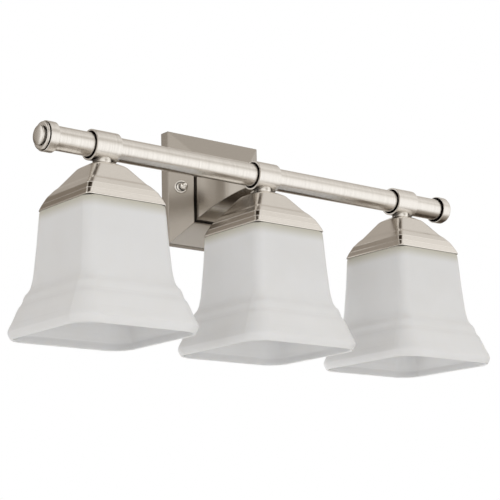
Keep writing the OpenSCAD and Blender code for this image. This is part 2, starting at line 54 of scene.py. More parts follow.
# %% [markdown]
# ## Where things are
# Every place comes from the boxes of the measured nodes, so a finished piece lands exactly on the
# solid that it stands for. A box gives its middle, and its half sizes are the radii of turned
# parts.

# %% Read the places
def middle(node):
    low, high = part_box(node)
    return (low + high) / 2


def half_sizes(node):
    low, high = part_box(node)
    return (high - low) / (2 * MM)


BAR = middle("bar_tube")
TUBE_HALF, TUBE_R, _ = half_sizes("bar_tube")
COLLAR_HALF, COLLAR_R, _ = half_sizes("collar_left")
CANOPY_HALF = half_sizes("canopy").x
CAP_HALF = half_sizes("lamp_cap_left").x
CAP_HEIGHT = 2 * half_sizes("lamp_cap_left").z
SHADE_HALF = half_sizes("shade_left").x
SHADE_HEIGHT = 2 * half_sizes("shade_left").z
NECK_R = half_sizes("neck_left").x
LAMP_X = {lamp: middle(f"lamp_cap_{lamp}").x for lamp in LAMPS}
print("tube radius", round(TUBE_R, 2), "shade half width", round(SHADE_HALF, 2))

# %% [markdown]
# ## Turning and squaring
# Nearly every part of this light is turned on a lathe or pressed between square dies. Both start
# from a half outline. Spinning it gives the turned parts. A pressed square is the same spun
# shape whose four quarters are then pushed apart, which leaves flat sides and rounded corners, so
# one tool makes both and the corners stay perfectly even.

# %% Helpers for outlines
def eased(points, steps=5):
    """Rounds each corner of an outline; a point's third value is how far the rounding reaches."""
    out = []
    for index, point in enumerate(points):
        here = Vector(point[:2])
        reach = point[2] if len(point) > 2 else 0
        if not reach:
            out.append(here)
            continue
        before = Vector(points[index - 1][:2])
        after = Vector(points[(index + 1) % len(points)][:2])
        start = here + (before - here).normalized() * min(reach, (before - here).length * 0.48)
        end = here + (after - here).normalized() * min(reach, (after - here).length * 0.48)
        for step in range(steps + 1):
            t = step / steps
            out.append((1 - t) ** 2 * start + 2 * t * (1 - t) * here + t * t * end)
    return out


def flowing(points, steps=6):
    """A smooth curve through all the points, for an outline with no corners."""
    keys = [Vector(p) for p in points]
    keys = [2 * keys[0] - keys[1]] + keys + [2 * keys[-1] - keys[-2]]
    out = []
    for a, b, c, d in zip(keys, keys[1:], keys[2:], keys[3:]):
        for step in range(steps):
            t = step / steps
            out.append(0.5 * ((2 * b) + (c - a) * t + (2 * a - 5 * b + 4 * c - d) * t * t
                              + (3 * b - a - 3 * c + d) * t ** 3))
    out.append(keys[-2])
    return out


# %% Helpers that make a piece
def finish_piece(name, bm, material, body, nodes):
    """Turns the built mesh into an object that rides on a body and stands for CAD nodes."""
    bmesh.ops.remove_doubles(bm, verts=bm.verts, dist=0.002 * MM)
    bmesh.ops.recalc_face_normals(bm, faces=bm.faces)
    mesh = bpy.data.meshes.new(name)
    for face in bm.faces:
        face.smooth = True
    bm.to_mesh(mesh)
    bm.free()
    mesh.materials.append(material)
    piece = bpy.data.objects.new(name, mesh)
    bpy.context.scene.collection.objects.link(piece)
    even = piece.modifiers.new("even_shading", "WEIGHTED_NORMAL")
    even.keep_sharp = True
    even.weight = 60
    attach(piece, body)
    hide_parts(*nodes)
    print(f"{name}: {len(mesh.polygons)} faces")
    return piece


def spun(bm, outline, closed=True, steps=96):
    """Spins an outline of (radius, height) in millimetres about Z."""
    verts = [bm.verts.new((p[0] * MM, 0, p[1] * MM)) for p in outline]
    pairs = list(zip(verts, verts[1:])) + ([(verts[-1], verts[0])] if closed else [])
    edges = [bm.edges.new(pair) for pair in pairs]
    bmesh.ops.spin(bm, geom=verts + edges, cent=(0, 0, 0), axis=(0, 0, 1), angle=2 * pi,
                   steps=steps, use_merge=True)
    return bm


def squared(bm, corner, steps):
    """Pushes the quarters of a spun shape apart; corner(half, height) is the corner radius."""
    gap = 2 * pi / steps
    for vert in bm.verts:
        half = hypot(vert.co.x, vert.co.y)
        if half < 1e-7:
            continue
        angle = (atan2(vert.co.y, vert.co.x) - gap / 2) % (2 * pi)
        quarter = int(angle // (pi / 2) + 1e-6) % 4
        turn = (angle - quarter * pi / 2) * (pi / 2) / (pi / 2 - gap)
        radius = min(half, corner(half / MM, vert.co.z / MM) * MM)
        x = half - radius + radius * cos(turn)
        y = half - radius + radius * sin(turn)
        for _ in range(quarter):
            x, y = -y, x
        vert.co.x, vert.co.y = x, y


def square_spun(outline, corner, arc=10, closed=True):
    steps = 4 * (arc + 1)
    bm = spun(bmesh.new(), outline, closed, steps)
    bmesh.ops.remove_doubles(bm, verts=bm.verts, dist=0.0005 * MM)
    bmesh.ops.rotate(bm, verts=bm.verts, cent=(0, 0, 0), matrix=Matrix.Rotation(pi / steps, 3, "Z"))
    squared(bm, corner, steps)
    return bm


# An outline is spun about Z; these turn its axis along the bar or out to the room
ALONG_BAR = Matrix.Rotation(radians(90), 4, "Y")
TO_ROOM = Matrix.Rotation(radians(90), 4, "X")


def place(bm, matrix):
    bmesh.ops.transform(bm, matrix=matrix, verts=bm.verts)
    return bm


# %% [markdown]
# ## Finishes
# A colour is picked as the hex value seen on a screen and turned to linear light for the shader.
# Each finish is a small node tree: a base shader, and patterns whose sizes are real millimetres.
# Object coordinates are in metres, so a pattern that repeats every d millimetres has a scale of
# 1000 / d.

# %% Helpers for finishes
def linear(hex_code):
    parts = [int(hex_code[i:i + 2], 16) / 255 for i in (1, 3, 5)]
    return [p / 12.92 if p <= 0.04045 else ((p + 0.055) / 1.055) ** 2.4 for p in parts] + [1]


def add(tree, kind, values=None, links=None, **settings):
    """Adds a node, sets its options and inputs, and links its inputs to other nodes' outputs."""
    node = tree.nodes.new(kind)
    for key, value in settings.items():
        setattr(node, key, value)
    for key, value in (values or {}).items():
        node.inputs[key].default_value = value
    for key, source in (links or {}).items():
        tree.links.new(source, node.inputs[key])
    return node


def per_mm(size):
    return 1000 / size


def new_finish(name, values):
    """An empty finish: its tree and its base shader, with the constant values set on it."""
    material = bpy.data.materials.new(name)
    material.use_nodes = True
    tree = material.node_tree
    shader = tree.nodes["Principled BSDF"]
    for key, value in values.items():
        shader.inputs[key].default_value = value
    return material, tree, shader


# %% [markdown]
# ## Nickel
# The bar is steel tube plated with nickel and brushed on a turning belt, which leaves fine lines
# around it. The pressed caps and canopy are brushed too, but finer and in all ways, and the necks,
# washers and cap nuts are buffed bright. Nickel is a slightly warm grey. The lines change the
# roughness and tilt the surface a little, which is what spreads a highlight across the tube.

# %% Nickel finishes
def nickel(name, colour, worn, rough, line_mm, lines, depth, clouds):
    """line_mm is the spacing of the brush lines along each axis, lines and clouds are their
    shares in the roughness, and depth is the strength of the bump."""
    material, tree, shader = new_finish(name, {"Metallic": 1.0})
    where = add(tree, "ShaderNodeTexCoord").outputs["Object"]
    way = add(tree, "ShaderNodeMapping", {"Scale": [per_mm(v) for v in line_mm]},
              {"Vector": where}).outputs["Vector"]
    grain = add(tree, "ShaderNodeTexNoise", {"Scale": 1.0, "Detail": 3.0, "Roughness": 0.6},
                {"Vector": way}).outputs["Fac"]
    cloud = add(tree, "ShaderNodeTexNoise", {"Scale": per_mm(22), "Detail": 2.0},
                {"Vector": where}).outputs["Fac"]
    haze = add(tree, "ShaderNodeMath", {1: clouds}, {0: cloud}, operation="MULTIPLY").outputs[0]
    both = add(tree, "ShaderNodeMath", {1: lines}, {0: grain, 2: haze}, operation="MULTIPLY_ADD")
    spread = add(tree, "ShaderNodeMapRange",
                 {"From Min": 0.0, "From Max": lines + clouds, "To Min": rough * 0.75,
                  "To Max": rough * 1.3}, {"Value": both.outputs[0]})
    tree.links.new(spread.outputs["Result"], shader.inputs["Roughness"])
    tint = add(tree, "ShaderNodeMix", {6: linear(colour), 7: linear(worn)}, {0: grain},
               data_type="RGBA")
    # Painted shade: where ambient occlusion finds gaps and inner corners, the base colour is
    # darkened towards #3a332b
    closed = add(tree, "ShaderNodeAmbientOcclusion", {"Distance": 7 * MM}, samples=8)
    painted_crevice_shade = add(tree, "ShaderNodeMapRange", {"From Min": 0.12, "From Max": 0.62},
                  {"Value": closed.outputs["AO"]})
    finish = add(tree, "ShaderNodeMix", {6: linear("#3a332b")},
                 {0: painted_crevice_shade.outputs["Result"], 7: tint.outputs[2]}, data_type="RGBA")
    tree.links.new(finish.outputs[2], shader.inputs["Base Color"])
    bump = add(tree, "ShaderNodeBump", {"Strength": depth, "Distance": 0.02 * MM},
               {"Height": grain})
    tree.links.new(bump.outputs["Normal"], shader.inputs["Normal"])
    return material


# Brushed round the tube: lines 1.1 mm apart, wider than real ones so that they show
TUBE_NICKEL = nickel("nickel_plate_belt_brushed", "#efece8", "#cdc8c1", 0.24,
                     (1.1, 40, 40), 0.7, 0.3, 0.3)
# Brushed by hand in all ways, on pressed sheet
SHEET_NICKEL = nickel("nickel_plate_satin_sheet", "#ebe7e2", "#d7d2cb", 0.20,
                      (1.2, 1.2, 1.2), 0.4, 0.12, 0.5)
# The canopy and the arm use a darker, slightly rougher copy of the satin nickel than the lamp caps
CANOPY_NICKEL = nickel("nickel_plate_satin_canopy", "#b4aea6", "#a8a198", 0.24,
                       (1.0, 1.0, 1.0), 0.5, 0.2, 0.5)
# Buffed on a soft wheel, so the reflections are nearly sharp
BRIGHT_NICKEL = nickel("nickel_plate_buffed", "#f2efea", "#e6e2dc", 0.10,
                       (2, 2, 2), 0.3, 0.05, 0.4)

# %% [markdown]
# ## Glass
# The shades are opal glass that was dipped in acid, so light enters the milky body, wanders a few
# millimetres and leaves again from a dull surface. Subsurface scattering does this. A very faint
# unevenness of the etch and of the moulded wall keeps it from looking like painted plastic.

# %% Etched opal glass
def opal_glass():
    material, tree, shader = new_finish("opal_glass_acid_etched", {
        "IOR": 1.5, "Specular IOR Level": 0.4, "Subsurface Weight": 0.45,
        "Subsurface Radius": (1.0, 0.95, 0.88), "Subsurface Scale": 6 * MM,
    })
    where = add(tree, "ShaderNodeTexCoord").outputs["Object"]
    milk = add(tree, "ShaderNodeTexNoise", {"Scale": per_mm(45), "Detail": 2.0},
               {"Vector": where}).outputs["Fac"]
    etch = add(tree, "ShaderNodeTexNoise", {"Scale": per_mm(0.8), "Detail": 2.0},
               {"Vector": where}).outputs["Fac"]
    tint = add(tree, "ShaderNodeMix", {6: linear("#e3e5e8"), 7: linear("#dddedf")}, {0: milk},
               data_type="RGBA")
    # Painted shade: within 14 mm under the cap the glass colour darkens towards #c3c1b6, for the
    # cap's shadow in the glass
    height = add(tree, "ShaderNodeSeparateXYZ", links={0: where}).outputs["Z"]
    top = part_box("shade_left")[1].z
    depth = add(tree, "ShaderNodeMapRange", {"From Min": top - 14 * MM, "From Max": top},
                {"Value": height}, interpolation_type="SMOOTHSTEP").outputs["Result"]
    shaded = add(tree, "ShaderNodeMix", {7: linear("#c3c1b6")},
                 {0: depth, 6: tint.outputs[2]}, data_type="RGBA")
    tree.links.new(shaded.outputs[2], shader.inputs["Base Color"])
    rough = add(tree, "ShaderNodeMapRange", {"To Min": 0.42, "To Max": 0.55}, {"Value": etch})
    tree.links.new(rough.outputs["Result"], shader.inputs["Roughness"])
    bump = add(tree, "ShaderNodeBump", {"Strength": 0.15, "Distance": 0.02 * MM}, {"Height": etch})
    tree.links.new(bump.outputs["Normal"], shader.inputs["Normal"])
    return material


OPAL = opal_glass()

# %% [markdown]
# ## Small hardware finishes
# The hidden parts are ordinary lamp hardware: glazed porcelain, raw brass, zinc plate and soft
# insulation. One helper varies the colour and roughness of each over a real distance.

# %% Hardware finishes
def plain(name, colour, second, rough, size_mm, metal=0.0):
    material, tree, shader = new_finish(name, {"Metallic": metal})
    where = add(tree, "ShaderNodeTexCoord").outputs["Object"]
    patch = add(tree, "ShaderNodeTexNoise", {"Scale": per_mm(size_mm), "Detail": 3.0},
                {"Vector": where}).outputs["Fac"]
    tint = add(tree, "ShaderNodeMix", {6: linear(colour), 7: linear(second)}, {0: patch},
               data_type="RGBA")
    tree.links.new(tint.outputs[2], shader.inputs["Base Color"])
    spread = add(tree, "ShaderNodeMapRange", {"To Min": rough * 0.8, "To Max": rough * 1.2},
                 {"Value": patch})
    tree.links.new(spread.outputs["Result"], shader.inputs["Roughness"])
    bump = add(tree, "ShaderNodeBump", {"Strength": 0.3, "Distance": 0.01 * MM},
               {"Height": patch})
    tree.links.new(bump.outputs["Normal"], shader.inputs["Normal"])
    return material


PORCELAIN = plain("porcelain_white_glazed", "#f1efe9", "#e7e4dc", 0.16, 9)
BRASS = plain("brass_stamped_raw", "#c9a565", "#b08a4c", 0.28, 5, 1.0)
ZINC = plain("steel_zinc_plated", "#b9bcbf", "#a3a6aa", 0.34, 4, 1.0)
GREEN_ZINC = plain("zinc_plate_dyed_green", "#2f7d4a", "#256a3d", 0.32, 3, 1.0)
BLACK_PVC = plain("pvc_insulation_black", "#1c1c1d", "#252526", 0.42, 6)
WHITE_PVC = plain("pvc_insulation_white", "#e6e5e0", "#d9d8d2", 0.42, 6)
GREEN_PVC = plain("pvc_insulation_green", "#26783f", "#1f6836", 0.42, 6)
ORANGE_PP = plain("polypropylene_moulded_orange", "#d8692a", "#c95c20", 0.48, 3)

# %% [markdown]
# ## Carried over hardware
# The strap, screws, leads and contacts already have the right shape and are mostly out of sight.
# They keep their measured meshes and only get a real finish.

# %% Finish the carried over nodes
def repaint(node, material):
    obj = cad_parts[node]
    obj.data.materials.clear()
    obj.data.materials.append(material)


for node_name, finish in (
    ("wall_strap", ZINC), ("stud_screws", ZINC), ("stud_nuts", ZINC),
    ("ground_screw", GREEN_ZINC), ("lock_nuts", BRASS), ("arm_nipple", BRASS),
    ("black_leads", BLACK_PVC), ("white_leads", WHITE_PVC), ("ground_lead", GREEN_PVC),
    ("wire_nuts", ORANGE_PP),
):
    repaint(node_name, finish)
for lamp in LAMPS:
    repaint(f"nipple_{lamp}", BRASS)
    repaint(f"contact_{lamp}", BRASS)
    repaint(f"shade_ring_{lamp}", PORCELAIN)
print("repainted the carried over nodes")

# %% [markdown]
# ## Bar tube
# A thin steel tube, cut square and slightly softened at its ends. Its section is one closed
# outline, spun about the bar's axis. Brush lines need a long smooth surface, so it has many steps.

# %% Spin the tube
TUBE_WALL = 1.2
tube_outline = eased([
    (TUBE_R, -TUBE_HALF, 0.3), (TUBE_R, TUBE_HALF, 0.3),
    (TUBE_R - TUBE_WALL, TUBE_HALF, 0.2), (TUBE_R - TUBE_WALL, -TUBE_HALF, 0.2),
], 2)
bm = spun(bmesh.new(), tube_outline, steps=128)
finish_piece("bar_tube_brushed", place(bm, Matrix.Translation(BAR) @ ALONG_BAR), TUBE_NICKEL,
             "fixture", ["bar_tube"])

# %% [markdown]
# ## Collars
# Each collar is a turned sleeve that hides where a neck meets the tube. Its ends are bored out, so
# a dark gap shows between its thin rim and the tube. The rim's edges are softly rounded and catch
# a bright line.

# %% Turn the collars
POCKET = 4.0
LIP = 1.9
collar_outline = eased([
    (COLLAR_R, -COLLAR_HALF, 0.6), (COLLAR_R, COLLAR_HALF, 0.6),
    (COLLAR_R - LIP, COLLAR_HALF, 0.3), (COLLAR_R - LIP, COLLAR_HALF - POCKET),
    (TUBE_R, COLLAR_HALF - POCKET), (TUBE_R, POCKET - COLLAR_HALF),
    (COLLAR_R - LIP, POCKET - COLLAR_HALF), (COLLAR_R - LIP, -COLLAR_HALF, 0.3),
], 4)
for lamp in LAMPS:
    bm = spun(bmesh.new(), collar_outline, steps=128)
    centre = Vector((LAMP_X[lamp], BAR.y, BAR.z))
    finish_piece(f"collar_{lamp}_turned", place(bm, Matrix.Translation(centre) @ ALONG_BAR),
                 TUBE_NICKEL, "fixture", [f"collar_{lamp}"])

# %% [markdown]
# ## End caps
# The ends of the tube are closed by a bored ring and a knob: a rounded bead, a narrow groove and a
# button with a low dome. The groove is what makes the end read as several crisp rings, so
# each edge has its own small radius.

# %% Turn the end rings and knobs
RING_LIP = 1.1
RING_POCKET = 3.0
BEAD_GAP, BEAD_LEN, GROOVE_LEN, BUTTON_LEN = 0.7, 2.5, 1.6, 1.8
BUTTON_R = 10.3
RING_LEN = 2 * half_sizes("end_ring_left").x
RING_R = half_sizes("end_ring_left").y
KNOB_R = half_sizes("end_knob_left").y
ring_outer = (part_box("end_ring_right")[1].x - BAR.x) / MM
ring_inner = ring_outer - RING_LEN
ring_outline = eased([
    (RING_R, ring_inner, 0.9), (RING_R, ring_outer, 0.5), (TUBE_R, ring_outer),
    (TUBE_R, ring_inner + RING_POCKET), (RING_R - RING_LIP, ring_inner + RING_POCKET),
    (RING_R - RING_LIP, ring_inner, 0.3),
], 5)
knob_tip = (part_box("end_knob_right")[1].x - BAR.x) / MM
bead_start = ring_outer + BEAD_GAP
bead_end = bead_start + BEAD_LEN
button_start = bead_end + GROOVE_LEN
groove_r = BUTTON_R - 1.6
knob_outline = eased([
    (0, bead_start - 10), (TUBE_R - 1.4, bead_start - 10), (TUBE_R - 1.4, bead_start - 1.5),
    (TUBE_R - 0.6, bead_start - 1.5), (TUBE_R - 0.6, bead_start),
    (KNOB_R, bead_start, 0.6), (KNOB_R, bead_end, 1.9),
    (groove_r, bead_end, 0.3), (groove_r, button_start, 0.2),
    (BUTTON_R, button_start, 0.4), (BUTTON_R, button_start + BUTTON_LEN, 0.9),
    (6.8, knob_tip - 0.25, 1.5), (3.0, knob_tip - 0.03, 1.5), (0, knob_tip),
], 6)
for side, turn in (("left", pi), ("right", 0)):
    flip = Matrix.Translation(BAR) @ Matrix.Rotation(turn, 4, "Z") @ ALONG_BAR
    bm = place(spun(bmesh.new(), ring_outline, steps=128), flip)
    finish_piece(f"end_ring_{side}_turned", bm, TUBE_NICKEL, "fixture",
                 [f"end_ring_{side}"])
    bm = place(spun(bmesh.new(), knob_outline, closed=False, steps=128), flip)
    finish_piece(f"end_knob_{side}_turned", bm, TUBE_NICKEL, "fixture",
                 [f"end_knob_{side}"])

# %% [markdown]
# ## Necks
# Under each collar a short bright post carries the lamp. Its top is hidden in the collar's wall,
# so running the post a little way into the metal gives the curved joint for nothing.

# %% Turn the necks
NECK_BORE_R = 5.2
neck_top = 1.2 - COLLAR_R * 0.78
for lamp in LAMPS:
    low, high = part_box(f"neck_{lamp}")
    bottom = (low.z - BAR.z) / MM
    neck_outline = eased([
        (NECK_R, bottom, 0.4), (NECK_R, neck_top), (NECK_BORE_R, neck_top), (NECK_BORE_R, bottom),
    ], 4)
    bm = spun(bmesh.new(), neck_outline, steps=96)
    centre = Vector((LAMP_X[lamp], BAR.y, BAR.z))
    finish_piece(f"neck_{lamp}_buffed", place(bm, Matrix.Translation(centre)), BRIGHT_NICKEL,
                 "fixture", [f"neck_{lamp}"])

# %% [markdown]
# ## Lamp caps
# Each cap is drawn from one square of sheet: a small flat crown, shoulders that roll over, a
# soft step, and a skirt that swells out over the glass. The outline below lists half widths
# and depths; the inside follows it one sheet thickness in. The corners of the pressing are
# rounder at the crown than at the skirt.

# %% Press the lamp caps
CAP_WALL = 1.1
cap_outside = eased([
    (NECK_BORE_R, 0), (11.8, 0, 1.2), (20.6, -4.9, 2.2), (34.6, -24.0, 1.6), (37.3, -26.4, 1.6),
    (42.2, -32.8, 0.15), (42.1, -33.25, 0.1), (42.7, -33.6, 0.15),
    (45.6, -39.7, 0.15), (45.5, -40.15, 0.1), (46.0, -40.5, 0.15),
    (CAP_HALF - 0.1, 1.4 - CAP_HEIGHT, 0.4), (CAP_HALF, -CAP_HEIGHT),
], 4)
cap_inside = [Vector((max(NECK_BORE_R, p.x - CAP_WALL), p.y - CAP_WALL * 0.8))
              for p in reversed(cap_outside[:-6])]
cap_inside = [Vector((CAP_HALF - CAP_WALL, -CAP_HEIGHT))] + cap_inside


def cap_corner(half, height):
    return 8.5 + 4.0 * height / CAP_HEIGHT


for lamp in LAMPS:
    bm = square_spun(cap_outside + cap_inside, cap_corner, arc=12)
    top = Vector((LAMP_X[lamp], BAR.y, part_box(f"lamp_cap_{lamp}")[1].z))
    finish_piece(f"lamp_cap_{lamp}_pressed", place(bm, Matrix.Translation(top)), SHEET_NICKEL,
                 "fixture", [f"lamp_cap_{lamp}"])

# %% [markdown]
# ## Glass shades
# The shades are blown into a square mould. The walls lean out slightly, then flare in three
# stages with a small ridge between them, to a thick rounded lip. The inside wall keeps an even
# three millimetres away. The corners open from tight at the shoulder to wide at the mouth.

# %% Blow the shades
GLASS_WALL = 3.0
GLASS_TOP = 3.5
HOLE_R = 20.5
SHOULDER = 49.5
TIGHT_CORNER, WIDE_CORNER = 11.5, 23.5
FLARE_START = 76
body_wall = flowing([(SHOULDER, -2.5), (50.2, -12), (51.4, -34), (52.9, -55), (53.9, -68),
                     (55.3, -77), (57.0, -82), (58.9, -85.2)], 5)
first_stage = flowing([(60.3, -87.0), (61.7, -90), (63.2, -95), (64.8, -98.4)], 4)
second_stage = flowing([(66.0, -100.0), (68.0, -104.5), (70.2, -110.5), (72.6, -116.5),
                        (74.4, -120.5), (75.4, -123.4), (SHADE_HALF, -125.3), (75.2, -128.2),
                        (74.4, -130.5)], 5)
lip = [Vector((73.7, 0.6 - SHADE_HEIGHT)), Vector((73.0, -SHADE_HEIGHT)),
       Vector((71.9, 0.1 - SHADE_HEIGHT)), Vector((71.4, 1.0 - SHADE_HEIGHT))]
shoulder_turn = [Vector((SHOULDER - 2 + 2 * sin(radians(a)), -2 + 2 * cos(radians(a))))
                 for a in (0, 22.5, 45, 67.5)]
glass_outside = [Vector((HOLE_R, 0))] + shoulder_turn + body_wall + first_stage + second_stage + lip
glass_inside = [Vector((p.x - GLASS_WALL, p.y))
                for p in reversed(body_wall[3:] + first_stage + second_stage[:-6])]
glass_inside += [Vector((SHOULDER - GLASS_WALL, -GLASS_TOP - 2)),
                 Vector((SHOULDER - GLASS_WALL - 2, -GLASS_TOP)), Vector((HOLE_R, -GLASS_TOP))]


def glass_corner(half, height):
    if half < HOLE_R + 0.01:
        return half
    opening = min(1, max(0, (-height - FLARE_START) / (SHADE_HEIGHT - 85)))
    tighter = GLASS_WALL if half < SHOULDER - 1.5 and height < -1 else 0
    return TIGHT_CORNER + (WIDE_CORNER - TIGHT_CORNER) * opening - tighter * (1 - opening)


for lamp in LAMPS:
    bm = square_spun(glass_outside + glass_inside, glass_corner, arc=14)
    top = Vector((LAMP_X[lamp], BAR.y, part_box(f"shade_{lamp}")[1].z))
    finish_piece(f"shade_{lamp}_glass", place(bm, Matrix.Translation(top)), OPAL,
                 f"shade_{lamp}_body", [f"shade_{lamp}"])

# %% [markdown]
# ## Wall canopy
# The canopy is a pressed square dish: an upright rim, a wide sloped face mitred at its corners,
# and a sunk floor that holds the arm. Sheet can't be bent to a knife edge, so each
# fold has a radius under a millimetre, and those folds are the bright lines along its edges.

# %% Press the canopy
CANOPY_RIM = 12.7
CANOPY_TOP = 2 * half_sizes("canopy").y
INNER_EDGE = 41.9
RECESS_HALF = 40.9
FLOOR = CANOPY_TOP - 6.0
CANOPY_WALL = 1.2
BORE_R = 5.0
slant = (CANOPY_TOP - CANOPY_RIM) / (CANOPY_HALF - INNER_EDGE)
inner_edge = RECESS_HALF + CANOPY_WALL
inner_drop = CANOPY_WALL * sqrt(1 + slant ** 2)
canopy_outline = eased([
    (BORE_R, FLOOR), (RECESS_HALF, FLOOR, 0.5), (RECESS_HALF, CANOPY_TOP, 0.3),
    (INNER_EDGE, CANOPY_TOP, 0.4), (CANOPY_HALF, CANOPY_RIM, 0.7), (CANOPY_HALF, 0, 0.3),
    (CANOPY_HALF - CANOPY_WALL, 0, 0.2),
    (CANOPY_HALF - CANOPY_WALL, CANOPY_RIM + CANOPY_WALL * slant - inner_drop),
    (inner_edge, CANOPY_RIM + (CANOPY_HALF - inner_edge) * slant - inner_drop),
    (inner_edge, FLOOR - CANOPY_WALL), (BORE_R, FLOOR - CANOPY_WALL),
], 4)


def canopy_corner(half, height):
    return half if half < BORE_R + 0.1 else 0.9


bm = square_spun(canopy_outline, canopy_corner, arc=5)
finish_piece("canopy_pressed", place(bm, TO_ROOM), CANOPY_NICKEL, "fixture", ["canopy"])

# %% [markdown]
# ## Arm
# The arm is cast: a square foot that sweeps in along a hollow curve to the back of the centre
# collar. The four hips stay crisp to the top. The curve is a quarter of a superellipse, the same
# formula as the solid, sampled finely here. Its top runs into the collar, like the necks.

# %% Sweep the arm
ARM_BASE = half_sizes("arm").x
ARM_TIP = 7.0
ARM_RIM = CANOPY_TOP + 0.9
ARM_END = -BAR.y / MM - COLLAR_R
ARM_CURVE = 0.6
arm_curve = []
for step in range(49):
    t = (step / 48) ** 2.2
    half = ARM_TIP + (ARM_BASE - ARM_TIP) * (1 - t ** ARM_CURVE) ** (1 / ARM_CURVE)
    arm_curve.append(Vector((half, ARM_RIM + t * (ARM_END - ARM_RIM))))
arm_outline = ([Vector((BORE_R, FLOOR)), Vector((ARM_BASE, FLOOR))] + arm_curve
               + [Vector((ARM_TIP, ARM_END + 3)), Vector((BORE_R, ARM_END + 3))])


def arm_corner(half, height):
    return half if half < BORE_R + 0.1 else 0.7


bm = square_spun(arm_outline, arm_corner, arc=5)
finish_piece("arm_cast", place(bm, TO_ROOM), CANOPY_NICKEL, "fixture", ["arm"])

# %% [markdown]
# ## Washers and cap nuts
# Two small ball nuts hold the canopy, each in a dished washer that lies on the slope. The
# washer is a thin spun dome with a rolled edge, and a cup at its middle that the ball sits in.

# %% Turn the washers and cap nuts
WASHER_R = 7.3
slope_angle = atan2(CANOPY_TOP - CANOPY_RIM, CANOPY_HALF - INNER_EDGE)
stud_x = abs(middle("cap_nut_left").x) / MM
stud_face = CANOPY_RIM + (CANOPY_HALF - stud_x) * slant
washer_outline = eased([
    (2.6, 0), (WASHER_R, 0, 0.2), (WASHER_R, 2.05, 0.7), (WASHER_R - 1.6, 2.05, 0.6),
    (WASHER_R - 2.5, 0.5, 0.5), (2.6, 0.4),
], 4)
bm = bmesh.new()
for side in (-1, 1):
    part = spun(bmesh.new(), washer_outline, steps=64)
    tilt = Matrix.Rotation(side * slope_angle, 4, "Z") @ TO_ROOM
    place(part, Matrix.Translation(Vector((side * stud_x, -stud_face, 0)) * MM) @ tilt)
    spare = bpy.data.meshes.new("washer_part")
    part.to_mesh(spare)
    part.free()
    bm.from_mesh(spare)
    bpy.data.meshes.remove(spare)
finish_piece("dome_washers_spun", bm, BRIGHT_NICKEL, "fixture", ["dome_washers"])

BALL_R = half_sizes("cap_nut_left").x
ball_outline = [Vector((BALL_R * cos(radians(a)), BALL_R * sin(radians(a))))
                for a in range(-50, 90, 8)] + [Vector((0, BALL_R))]
ball_outline = [Vector((2.1, -BALL_R * sin(radians(50))))] + ball_outline
ball_outline = [Vector((0, 2.4)), Vector((2.1, 1.8))] + ball_outline
for side, sign in (("left", -1), ("right", 1)):
    bm = spun(bmesh.new(), ball_outline, closed=False, steps=64)
    ball_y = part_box(f"cap_nut_{side}")[0].y + BALL_R * MM
    spot = Matrix.Translation(Vector((sign * stud_x * MM, ball_y, 0))) @ TO_ROOM
    finish_piece(f"cap_nut_{side}_turned", place(bm, spot), BRIGHT_NICKEL, f"nut_{side}",
                 [f"cap_nut_{side}"])

# %% [markdown]
# ## Sockets
# A glazed porcelain body with a wide flange that sits inside the cap and a threaded skirt that
# the retaining ring screws on. The brass shell inside is rolled into the round screw thread that
# grips a lamp. Real threads are helices; rings of the same pitch look the same from below.

# %% Turn the sockets and their shells
THREAD_MM = 3.6
SHELL_R = 12.35
SOCKET_R = 19.0
SKIRT_PITCH = 2.0
RECESS_DEPTH = 4.7  # room for the sprung contact at full push
FACETS = 8  # points on each turn of the rolled thread
for lamp in LAMPS:
    low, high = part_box(f"socket_{lamp}")
    top = (high.z - BAR.z) / MM
    end = (low.z - BAR.z) / MM
    cap_low = (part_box(f"lamp_cap_{lamp}")[0].z - BAR.z) / MM
    shell_low, shell_high = (v.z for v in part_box(f"screw_shell_{lamp}"))
    shell_low, shell_high = (shell_low - BAR.z) / MM, (shell_high - BAR.z) / MM
    recess_top = shell_high + RECESS_DEPTH
    threads = []
    z = cap_low - 2
    while z > end + 2.5:
        threads += [(SOCKET_R - 0.7, z, 0.3), (SOCKET_R - 0.05, z - SKIRT_PITCH / 2, 0.3)]
        z -= SKIRT_PITCH
    outline = eased([
        (5.0, top), (SOCKET_R - 2, top, 2.5), (SOCKET_R - 2, cap_low + 5.6, 0.5),
        (SOCKET_R + 4.5, cap_low + 3.6, 0.6), (SOCKET_R + 4.5, cap_low, 0.5),
        (SOCKET_R - 0.6, cap_low, 0.3), *threads, (SOCKET_R - 0.7, end + 0.8, 0.3),
        (SOCKET_R - 1.2, end, 0.8), (13.4, end, 0.6), (13.0, end + 1.5, 0.3),
        (13.0, shell_high), (9.0, shell_high, 0.3), (9.0, recess_top, 0.4), (5.0, recess_top),
    ], 3)
    centre = Matrix.Translation(Vector((LAMP_X[lamp], BAR.y, BAR.z)))
    bm = spun(bmesh.new(), outline, steps=96)
    finish_piece(f"socket_{lamp}_porcelain", place(bm, centre), PORCELAIN, "fixture",
                 [f"socket_{lamp}"])
    rings = int((shell_high - shell_low) / THREAD_MM * FACETS)
    wall = [Vector((SHELL_R + 0.32 + 0.28 * cos(2 * pi * k / FACETS),
                    shell_low + (shell_high - shell_low) * k / rings)) for k in range(rings + 1)]
    inner = [Vector((p.x - 0.3, p.y)) for p in reversed(wall)]
    bm = spun(bmesh.new(), wall + inner, steps=96)
    finish_piece(f"screw_shell_{lamp}_rolled", place(bm, centre), BRASS, "fixture",
                 [f"screw_shell_{lamp}"])

# %% [markdown]
# ## Camera
# The camera stands low and to the left, well back, and looks slightly up, so the lens is long.
# Its turn is given by two unit vectors: to the right, and forward along the view.

